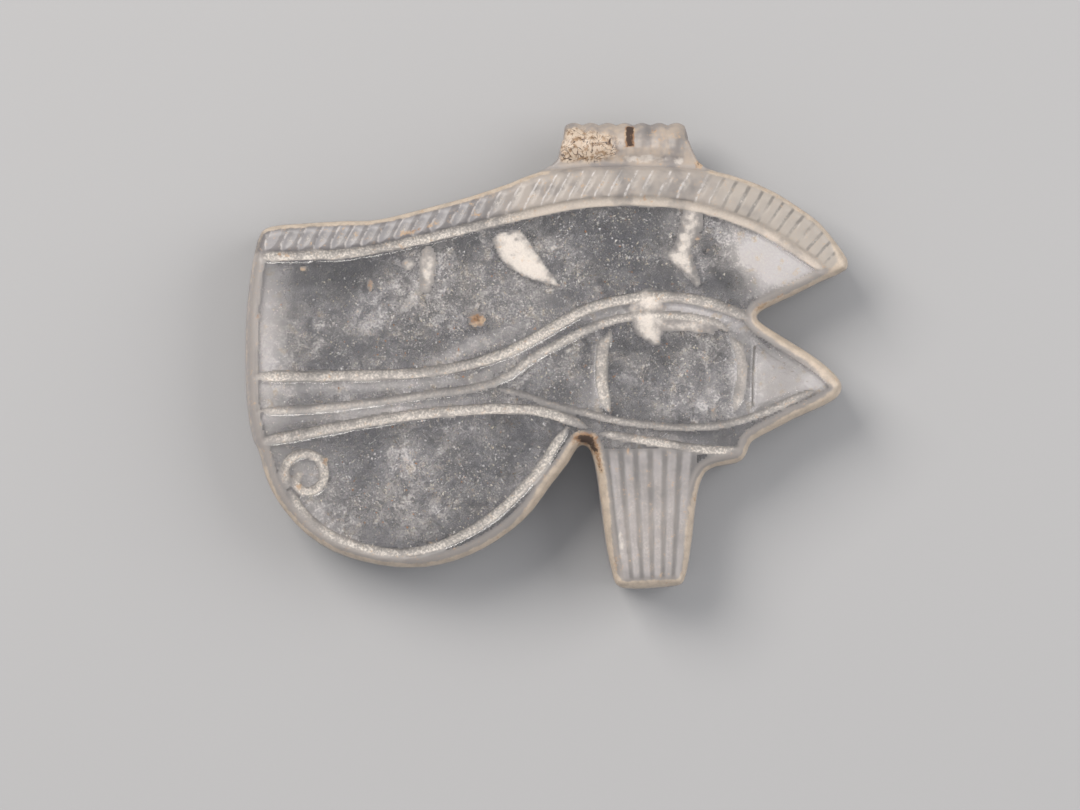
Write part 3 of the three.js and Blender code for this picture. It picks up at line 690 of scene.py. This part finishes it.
# Painted light bands along the drop's flutes, with thin darker gaps between them.
off_flute = calc(tree, "FRACT", calc(tree, "ADD", painted(tree, "flute"), 0.5), 0.0)
off_flute = calc(tree, "ABSOLUTE", calc(tree, "SUBTRACT", off_flute, 0.5), 0.0)
flute_highlight = calc(tree, "SUBTRACT", 1.0, step(tree, calc(tree, "ADD", off_flute, wobble), 0.16, 0.42))
flute_highlight = calc(tree, "MULTIPLY", flute_highlight, painted(tree, "fluted"))
flute_highlight = calc(tree, "MULTIPLY", flute_highlight, blend_value(tree, step(tree, patchy, 0.35, 0.62), 0.5, 0.9))
color = blend(tree, flute_highlight, color, FLUTE_HIGHLIGHT_COLOR)
# The brow's cuts in the colour: scooped facets, a painted highlight along one lip of each cut, and painted
# shade down the middle of the cuts near the brow's tip.
counted = calc(tree, "ADD", painted(tree, "stroke"), calc(tree, "ADD", wobble, 0.5))
off_stroke = calc(tree, "SUBTRACT", calc(tree, "FRACT", counted, 0.0), 0.5)
hatched = painted(tree, "hatched")
leaf = painted(tree, "leaf")
in_leaf = step(tree, calc(tree, "SUBTRACT", leaf, calc(tree, "ABSOLUTE", off_stroke, 0.0)), -0.03, 0.06)
by_lip = calc(tree, "ABSOLUTE", calc(tree, "ADD", off_stroke, leaf), 0.0)
# Painted highlight: a thin light line along one lip of each cut.
highlight_line = calc(tree, "SUBTRACT", 1.0, step(tree, by_lip, 0.03, 0.10))
highlight_line = calc(tree, "MULTIPLY", highlight_line, step(tree, smeared, 0.38, 0.55))
# Painted shade: a dark line down the middle of each cut.
shade_line = calc(tree, "SUBTRACT", 1.0, step(tree, calc(tree, "ABSOLUTE", off_stroke, 0.0), 0.05, 0.20))
shade_line = calc(tree, "MULTIPLY", shade_line, step(tree, patchy, 0.30, 0.50))
scooped = blend(tree, calc(tree, "MULTIPLY", in_leaf, hatched), SCOOP_SHADE, SCOOP_COLOR)
middle = blend(tree, step(tree, patchy, 0.32, 0.58), BROW_SHADE, BROW_COLOR)
brow = blend(tree, painted(tree, "along"), scooped, middle)
brow = blend(tree, calc(tree, "MULTIPLY", painted(tree, "brow_tip"), 0.9), brow, BROW_TIP_COLOR)
at_tip = calc(tree, "MULTIPLY", painted(tree, "brow_tip"), hatched)
before_tip = calc(tree, "SUBTRACT", hatched, at_tip)
lit = calc(tree, "ADD", calc(tree, "MULTIPLY", painted(tree, "along"), 0.35), 0.55)
highlight_amount = calc(tree, "MULTIPLY", before_tip, lit)
brow = blend(tree, calc(tree, "MULTIPLY", highlight_line, highlight_amount), brow, HIGHLIGHT_LINE_COLOR)
shade_at_tip = calc(tree, "MULTIPLY", calc(tree, "MULTIPLY", shade_line, at_tip), 0.85)
brow = blend(tree, shade_at_tip, brow, SHADE_LINE_COLOR)
clumps = noise(tree, place, 0.36 * MM, 4.0, 0.7)
veins = calc(tree, "ABSOLUTE", calc(tree, "SUBTRACT", noise(tree, place, 0.75 * MM, 2.0, 0.6, 0.8), 0.5), 0.0)
crusty = blend(tree, step(tree, clumps, 0.40, 0.52), CRUST_DARK, CRUST_LIGHT)
crusty = blend(tree, step(tree, veins, 0.028, 0.008), crusty, UMBER_COLOR)
crumbled = calc(tree, "ADD", painted(tree, "crusted"), calc(tree, "SUBTRACT", smeared, 0.5))
crusted = step(tree, crumbled, 0.35, 0.65)
tube = blend(tree, step(tree, patchy, 0.38, 0.62), TUBE_SHADE, TUBE_COLOR)
tube = blend(tree, crusted, tube, crusty)
brow = blend(tree, painted(tree, "tube"), brow, tube)
brow = blend(tree, calc(tree, "MULTIPLY", painted(tree, "grey"), 0.85), brow, POLISH_COLOR)
color = blend(tree, painted(tree, "brow"), color, brow)
# The beige edge band, partly frosted stone and partly painted light on the lit bevel.
edge = blend(tree, step(tree, smeared, 0.3, 0.65), RIM_SHADE, RIM_FROST_AND_LIGHT_COLOR)
color = blend(tree, step(tree, calc(tree, "ADD", painted(tree, "rim"), smeared), 0.6, 1.2), color, edge)
frosted = blend(tree, step(tree, pitted.outputs["Grain"], 0.42, 0.64), GROUND_SHADE, GROUND_COLOR)
frosted = blend(tree, calc(tree, "MULTIPLY", painted(tree, "warm"), 0.85), frosted, WARM_COLOR)
kept = calc(tree, "ADD", calc(tree, "MULTIPLY", step(tree, patchy, 0.3, 0.62), 0.6), 0.4)
worn = calc(tree, "ADD", calc(tree, "MULTIPLY", ground, kept), calc(tree, "MULTIPLY", smeared, 0.5))
color = blend(tree, step(tree, worn, 0.2, 1.15), color, frosted)
torn = calc(tree, "MULTIPLY", calc(tree, "SUBTRACT", smeared, 0.5), 2.4)
frayed = step(tree, calc(tree, "ADD", painted(tree, "bruise"), torn), 0.10, 0.95)
frayed = calc(tree, "MULTIPLY", frayed, step(tree, painted(tree, "bruise"), 0.16, 0.45))
speckled = calc(tree, "ADD", calc(tree, "MULTIPLY", pitted.outputs["Grain"], 0.9), 0.4)
bruised = calc(tree, "MULTIPLY", frayed, speckled, True)
color = blend(tree, bruised, color, BRUISE_COLOR)
roughness = blend_value(tree, ground, 0.42, 0.66)
finish_crystal(tree, shader, color, roughness, pitted.outputs["Normal"], GROUND_TRANSMISSION)

stone.data.materials.clear()
stone.data.materials.append(clear_quartz)
stone.data.materials.append(ground_quartz)
FROSTED_ABOVE = 0.12
frosted = np.maximum.reduce([
    fields["ground"], fields["brim"], fields["brow"], fields["wall"], fluted,
    fields["stain"] - 0.2, fields["bruise"] - 0.1,
])
for face in stone.data.polygons:
    face.material_index = int(frosted[list(face.vertices)].mean() > FROSTED_ABOVE)
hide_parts("wedjat_amulet")
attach(stone, "root")

# The milk in the stone. Cloudy quartz in two thin layers at different depths, drawn as
# sheets that follow the domed front and thin out where the stone is clear.
CLOUD_STEP = 0.25 * MM
CLOUD_LAYERS = ((0.55, 0.95), (1.50, 0.72))
CLOUD_INSET = 0.6 * MM
CLOUD_COLOR = (0.84, 0.79, 0.78, 1)
BUFF_COLOR = (0.86, 0.70, 0.50, 1)
GRAIN_COLOR = (0.93, 0.90, 0.86, 1)
SPECKLED = (
    (-6.0, 2.6, 11.0, 4.6, 12, 1.0), (4.5, 8.0, 8.0, 3.0, 0, 1.0), (-9.0, -9.6, 9.5, 4.6, 5, 1.0),
    (9.2, -1.2, 4.6, 3.2, 0, 1.0), (0.0, -1.0, 5.0, 2.5, 0, 0.8), (-12.0, -3.0, 8.0, 2.0, 0, 0.3),
)


def cloud_layer(deep):
    """A grid at one depth under the front, as far out as it stays well inside the stone."""
    columns = np.arange(stone_low.x, stone_high.x, CLOUD_STEP)
    rows = np.arange(stone_low.y, TUBE_FOOT_Y, CLOUD_STEP)
    x, y = (v.ravel() for v in np.meshgrid(columns, rows))
    edges = np.array([(a.x, a.y, b.x, b.y) for a, b in outline])
    crossings = np.zeros(len(x), int)
    for ax, ay, bx, by in edges:
        spans = (ay > y) != (by > y)
        if ay != by:
            crossings += spans & (x < (bx - ax) * (y - ay) / (by - ay) + ax)
    inside = (crossings % 2 == 1) & (way_in(x, y) > CLOUD_INSET)
    index = np.full(len(x), -1)
    index[inside] = np.arange(inside.sum())
    index = index.reshape(len(rows), len(columns))
    quads = np.stack([index[:-1, :-1], index[:-1, 1:], index[1:, 1:], index[1:, :-1]], -1).reshape(-1, 4)
    places = np.stack([x, y, uncut_front(x, y) - deep], -1)[inside]
    return places, quads[(quads >= 0).all(1)]


# How milk breaks up into wisps and grains, for the layers and for the healed cracks.
wispy, given, result, place = new_effect(
    "wisps_and_grains",
    {"Size": ("Float", 1.0 * MM), "Grit": ("Float", 0.5)},
    {"Wisps": "Float", "Grains": "Float"},
)
scale = calc(wispy, "DIVIDE", 1.0, given["Size"])
folded = {"Vector": place, "Scale": scale, "Detail": 4.0, "Roughness": 0.72, "Distortion": 0.7}
wisps = step(wispy, add_node(wispy, "ShaderNodeTexNoise", folded).outputs["Fac"], 0.36, 0.66)
motes = step(wispy, noise(wispy, place, 0.17 * MM, 3.0, 0.65), 0.40, 0.66)
wispy.links.new(wisps, result["Wisps"])
wispy.links.new(blend_value(wispy, given["Grit"], 1.0, motes), result["Grains"])


def finish_milk(tree, shader, amount, broken, color):
    """Matt white quartz that shows only where its amount holds."""
    tree.links.new(amount, shader.inputs["Alpha"])
    whitened = blend(tree, broken.outputs["Grains"], color, GRAIN_COLOR)
    tree.links.new(whitened, shader.inputs["Base Color"])
    shader.inputs["Roughness"].default_value = 0.9
    shader.inputs["Specular IOR Level"].default_value = 0.0


cloud, tree, shader = new_material("milky_quartz")
place = add_node(tree, "ShaderNodeTexCoord", {}).outputs["Object"]
broken = add_node(tree, "ShaderNodeGroup", {"Size": 1.2 * MM, "Grit": 0.65}, node_tree=wispy)
drifts = step(tree, noise(tree, place, 3.4 * MM, 3.0, 0.65), 0.42, 0.66)
thin = calc(tree, "MULTIPLY", drifts, 0.6)
thick = calc(tree, "ADD", calc(tree, "MULTIPLY", painted(tree, "haze"), 2.0), thin)
thick = calc(tree, "ADD", thick, calc(tree, "MULTIPLY", painted(tree, "specks"), 0.35))
buff = step(tree, noise(tree, place, 0.8 * MM, 1.0, 0.5), 0.60, 0.70)
buff_specks = calc(tree, "MULTIPLY", buff, calc(tree, "MULTIPLY", painted(tree, "specks"), 0.6))
thick = calc(tree, "ADD", thick, buff_specks)
wisps = calc(tree, "ADD", calc(tree, "MULTIPLY", broken.outputs["Wisps"], 0.9), 0.1)
wispy_milk = calc(tree, "MULTIPLY", thick, wisps)
grainy_milk = calc(tree, "MULTIPLY", wispy_milk, broken.outputs["Grains"])
smooth_milk = calc(tree, "MULTIPLY", painted(tree, "bloom"), 1.3)
milk = calc(tree, "MULTIPLY", calc(tree, "ADD", grainy_milk, smooth_milk), painted(tree, "share"), True)
finish_milk(tree, shader, milk, broken, blend(tree, buff, CLOUD_COLOR, BUFF_COLOR))
for number, (deep, share) in enumerate(CLOUD_LAYERS, 1):
    places, quads = cloud_layer(deep * MM)
    layer = link(f"milk_layer_{number}", bpy.data.meshes.new(f"milk_layer_{number}"))
    layer.data.from_pydata(places.tolist(), [], quads.tolist())
    x, y, _ = places.T
    haze, bloom = milky(x, y)
    paint(layer.data, "haze", haze)
    paint(layer.data, "bloom", bloom)
    clearest = np.clip(soft_spots(x, y, CLEAREST), 0, 1)
    paint(layer.data, "share", share * ramp(way_in(x, y), 0.6 * MM, 0.9 * MM) * (1 - clearest))
    paint(layer.data, "specks", np.clip(soft_spots(x, y, SPECKLED), 0, 1))
    layer.data.materials.append(cloud)
    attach(layer, "root")

# Healed cracks. White curved sheets in the quartz, each a band along a line of places: x, y,
# half width and depth under the front in mm. Their edges are frayed.
CRACK_SIDES = 14
CRACK_THICKNESS = 0.03 * MM
CRACK_COLOR = (0.90, 0.86, 0.83, 1)


def crack_mesh(name, line):
    """A band along the line, a little bowed across, with its way across kept for fraying."""
    middle, half, deep = crack_line(line)
    along = np.linspace(0, 1, len(middle))
    tangent = np.gradient(middle, axis=0)
    tangent /= np.linalg.norm(tangent, axis=1)[:, None]
    side = np.stack([-tangent[:, 1], tangent[:, 0]], -1)
    across = np.linspace(-1, 1, CRACK_SIDES + 1)
    flat = middle[:, None] + side[:, None] * (half[:, None] * across)[..., None]
    x, y = flat.reshape(-1, 2).T * MM
    bow = (0.25 * across**2)[None, :] * half[:, None]
    z = uncut_front(x, y) - (deep[:, None] + bow).ravel() * MM
    columns = CRACK_SIDES + 1
    quads = [
        (r * columns + c, r * columns + c + 1, (r + 1) * columns + c + 1, (r + 1) * columns + c)
        for r in range(len(middle) - 1) for c in range(CRACK_SIDES)
    ]
    mesh = bpy.data.meshes.new(name)
    mesh.from_pydata(np.stack([x, y, z], -1).tolist(), [], quads)
    ends = np.minimum(ramp(along, 0, 0.12), 1 - ramp(along, 0.88, 1))
    paint(mesh, "body", (ends[:, None] * (1 - across**2)[None, :]).ravel())
    return mesh


healed, tree, shader = new_material("healed_crack")
broken = add_node(tree, "ShaderNodeGroup", {"Size": 0.9 * MM, "Grit": 0.25}, node_tree=wispy)
body = calc(tree, "ADD", painted(tree, "body"), calc(tree, "MULTIPLY", broken.outputs["Wisps"], 0.55))
solid_part = calc(tree, "MULTIPLY", step(tree, body, 0.25, 0.95), broken.outputs["Grains"])
finish_milk(tree, shader, calc(tree, "MULTIPLY", solid_part, 0.92), broken, CRACK_COLOR)
for name, line in CRACKS.items():
    crack = link("crack_" + name, crack_mesh("crack_" + name, line))
    crack.data.materials.append(healed)
    wall = crack.modifiers.new("wall", "SOLIDIFY")
    wall.thickness = CRACK_THICKNESS
    wall.offset = -1
    settle(crack)
    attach(crack, "root")

# Earth in the bore. A dry brown crust that lines the left third of the cord hole, thicker in
# places, seen through the frosted tube.
BORE_CENTRE = (15.3 * MM, 3.6 * MM)
BORE_RADIUS = 0.77 * MM
CRUST_ENDS = (1.5 * MM, 5.3 * MM)
CRUST_RINGS = 48
CRUST_SIDES = 32
CRUST_SEED = 5
CRUST_LEAST = 0.06 * MM
CRUST_LUMPS = 0.30 * MM
LUMP_PASSES = 3
EARTH_DARK = (0.16, 0.08, 0.035, 1)
EARTH_MID = (0.52, 0.33, 0.18, 1)
EARTH_PALE = (0.70, 0.55, 0.40, 1)

chance = np.random.default_rng(CRUST_SEED)
lumps = chance.random((CRUST_RINGS + 1, CRUST_SIDES))
for axis in (0, 1):
    for _ in range(LUMP_PASSES):
        lumps = (np.roll(lumps, 1, axis) + lumps + np.roll(lumps, -1, axis)) / 3
lumps = (lumps - lumps.min()) / (lumps.max() - lumps.min())
along = np.linspace(*CRUST_ENDS, CRUST_RINGS + 1)[:, None]
turn = np.linspace(0, 2 * np.pi, CRUST_SIDES, endpoint=False)[None, :]
towards_ends = np.linspace(0.02, np.pi - 0.02, CRUST_RINGS + 1)[:, None]
thickness = (CRUST_LEAST + CRUST_LUMPS * lumps) * np.minimum(1, 8 * np.sin(towards_ends))
shells = []
for radius in (np.full_like(thickness, BORE_RADIUS), BORE_RADIUS - thickness):
    shells.append(np.stack([
        np.broadcast_to(along, radius.shape),
        BORE_CENTRE[0] + radius * np.cos(turn),
        BORE_CENTRE[1] + radius * np.sin(turn),
    ], -1).reshape(-1, 3))
count = (CRUST_RINGS + 1) * CRUST_SIDES
crust_faces = []
for r in range(CRUST_RINGS):
    for c in range(CRUST_SIDES):
        a, b = r * CRUST_SIDES + c, r * CRUST_SIDES + (c + 1) % CRUST_SIDES
        crust_faces += [(a, b, b + CRUST_SIDES, a + CRUST_SIDES)]
        crust_faces += [(count + a, count + a + CRUST_SIDES, count + b + CRUST_SIDES, count + b)]
for first, flip in ((0, False), (CRUST_RINGS * CRUST_SIDES, True)):
    for c in range(CRUST_SIDES):
        a, b = first + c, first + (c + 1) % CRUST_SIDES
        ring = (a, count + a, count + b, b)
        crust_faces.append(ring[::-1] if flip else ring)
crust = link("bore_crust", bpy.data.meshes.new("bore_crust"))
crust.data.from_pydata(np.concatenate(shells).tolist(), [], crust_faces)
crust_check = bmesh.new()
crust_check.from_mesh(crust.data)
bmesh.ops.recalc_face_normals(crust_check, faces=crust_check.faces)
crust_check.to_mesh(crust.data)
crust_check.free()
dry_earth, tree, shader = new_material("dry_earth")
place = add_node(tree, "ShaderNodeTexCoord", {}).outputs["Object"]
crumbly = add_node(tree, "ShaderNodeGroup", {"Size": 0.15 * MM, "Relief": 0.9}, node_tree=abraded)
clods = step(tree, noise(tree, place, 0.5 * MM, 4.0, 0.7), 0.38, 0.62)
color = blend(tree, clods, EARTH_DARK, EARTH_MID)
color = blend(tree, step(tree, crumbly.outputs["Grain"], 0.55, 0.7), color, EARTH_PALE)
tree.links.new(color, shader.inputs["Base Color"])
tree.links.new(crumbly.outputs["Normal"], shader.inputs["Normal"])
shader.inputs["Roughness"].default_value = 0.95
crust.data.materials.append(dry_earth)
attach(crust, "root")

# Specks in the quartz. Thousands of tiny angular grains at chance depths, thick where the
# stone is speckled, nearly all white or yellowish and a few rust brown.
SPECK_VALUES = {
    "Density": 80.0e6, "Smallest": 0.022 * MM, "Largest": 0.10 * MM, "Rise": 0.08 * MM, "Fall": 1.6 * MM,
}
SPECK_SEED = 11
SPECK_WHITE = (0.93, 0.91, 0.90, 1)
SPECK_YELLOW = (0.93, 0.85, 0.68, 1)
SPECK_RUST = (0.55, 0.24, 0.08, 1)


def speck_tree(material):
    """Geometry Nodes: grains strewn under a milk layer, by its painted amount of specks."""
    tree = bpy.data.node_groups.new("strew_specks", "GeometryNodeTree")
    tree.interface.new_socket("Geometry", in_out="INPUT", socket_type="NodeSocketGeometry")
    tree.interface.new_socket("Geometry", in_out="OUTPUT", socket_type="NodeSocketGeometry")
    for name, value in SPECK_VALUES.items():
        tree.interface.new_socket(name, in_out="INPUT", socket_type="NodeSocketFloat").default_value = value
    given = tree.nodes.new("NodeGroupInput").outputs
    result = tree.nodes.new("NodeGroupOutput")

    def chance(kind, low, high, seed):
        made = add_node(tree, "FunctionNodeRandomValue", {"Seed": seed}, data_type=kind)
        first, second = [i for i in made.inputs if i.enabled and i.name in ("Min", "Max")]
        for socket, value in ((first, low), (second, high)):
            if isinstance(value, bpy.types.NodeSocket):
                tree.links.new(value, socket)
            else:
                socket.default_value = value
        return [o for o in made.outputs if o.enabled][0]

    amount = add_node(tree, "GeometryNodeInputNamedAttribute", {"Name": "specks"}, data_type="FLOAT")
    patches = add_node(tree, "ShaderNodeTexNoise", {"Scale": 1 / (1.6 * MM), "Detail": 5.0, "Roughness": 0.7})
    gathered = step(tree, patches.outputs["Fac"], 0.36, 0.66)
    density = calc(tree, "MULTIPLY", given["Density"], calc(tree, "MULTIPLY", amount.outputs[0], gathered))
    strewn = add_node(
        tree, "GeometryNodeDistributePointsOnFaces",
        {"Mesh": given["Geometry"], "Density": density, "Seed": SPECK_SEED}, distribute_method="RANDOM",
    )
    fall = chance("FLOAT", 0.0, 1.0, SPECK_SEED + 1)
    fall = calc(tree, "MULTIPLY", calc(tree, "POWER", fall, 2.5), given["Fall"])
    drop = add_node(tree, "ShaderNodeCombineXYZ", {"Z": calc(tree, "SUBTRACT", given["Rise"], fall)})
    moved = add_node(
        tree, "GeometryNodeSetPosition", {"Geometry": strewn.outputs["Points"], "Offset": drop.outputs[0]},
    )
    tone = chance("FLOAT", 0.0, 1.0, SPECK_SEED + 2)
    toned = add_node(
        tree, "GeometryNodeStoreNamedAttribute",
        {"Geometry": moved.outputs[0], "Name": "tone", "Value": tone}, data_type="FLOAT", domain="POINT",
    )
    grain = add_node(
        tree, "GeometryNodeMeshCone",
        {"Vertices": 3, "Radius Top": 0.35, "Radius Bottom": 1.0, "Depth": 1.2}, fill_type="TRIANGLE_FAN",
    )
    size = calc(tree, "POWER", chance("FLOAT", 0.0, 1.0, SPECK_SEED + 3), 3.0)
    size = calc(tree, "ADD", given["Smallest"], calc(tree, "MULTIPLY", size, given["Largest"]))
    shape = chance("FLOAT_VECTOR", (0.5, 0.5, 0.4), (2.0, 1.1, 1.0), SPECK_SEED + 4)
    sized = add_node(tree, "ShaderNodeVectorMath", {0: shape}, operation="SCALE")
    tree.links.new(size, sized.inputs["Scale"])
    turn = chance("FLOAT_VECTOR", (-1.5, -1.5, 0.0), (1.5, 1.5, 6.283), SPECK_SEED + 5)
    placed = add_node(
        tree, "GeometryNodeInstanceOnPoints",
        {
            "Points": toned.outputs[0], "Instance": grain.outputs["Mesh"],
            "Rotation": turn, "Scale": sized.outputs[0],
        },
    )
    real = add_node(tree, "GeometryNodeRealizeInstances", {"Geometry": placed.outputs[0]})
    dressed = add_node(tree, "GeometryNodeSetMaterial", {"Geometry": real.outputs[0], "Material": material})
    tree.links.new(dressed.outputs[0], result.inputs[0])
    return tree


speck_material, tree, shader = new_material("white_specks")
tone = painted(tree, "tone")
color = blend(tree, step(tree, tone, 0.3, 1.0), SPECK_WHITE, SPECK_YELLOW)
color = blend(tree, step(tree, tone, 0.955, 0.965), color, SPECK_RUST)
tree.links.new(color, shader.inputs["Base Color"])
shader.inputs["Roughness"].default_value = 0.6
specks = link("specks", bpy.data.objects["milk_layer_1"].data.copy())
strew = specks.modifiers.new("strew", "NODES")
strew.node_group = speck_tree(speck_material)
for item in strew.node_group.interface.items_tree:
    if item.in_out == "INPUT" and item.name in SPECK_VALUES:
        strew[item.identifier] = SPECK_VALUES[item.name]
settle(specks)
specks.data.name = "specks"
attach(specks, "root")
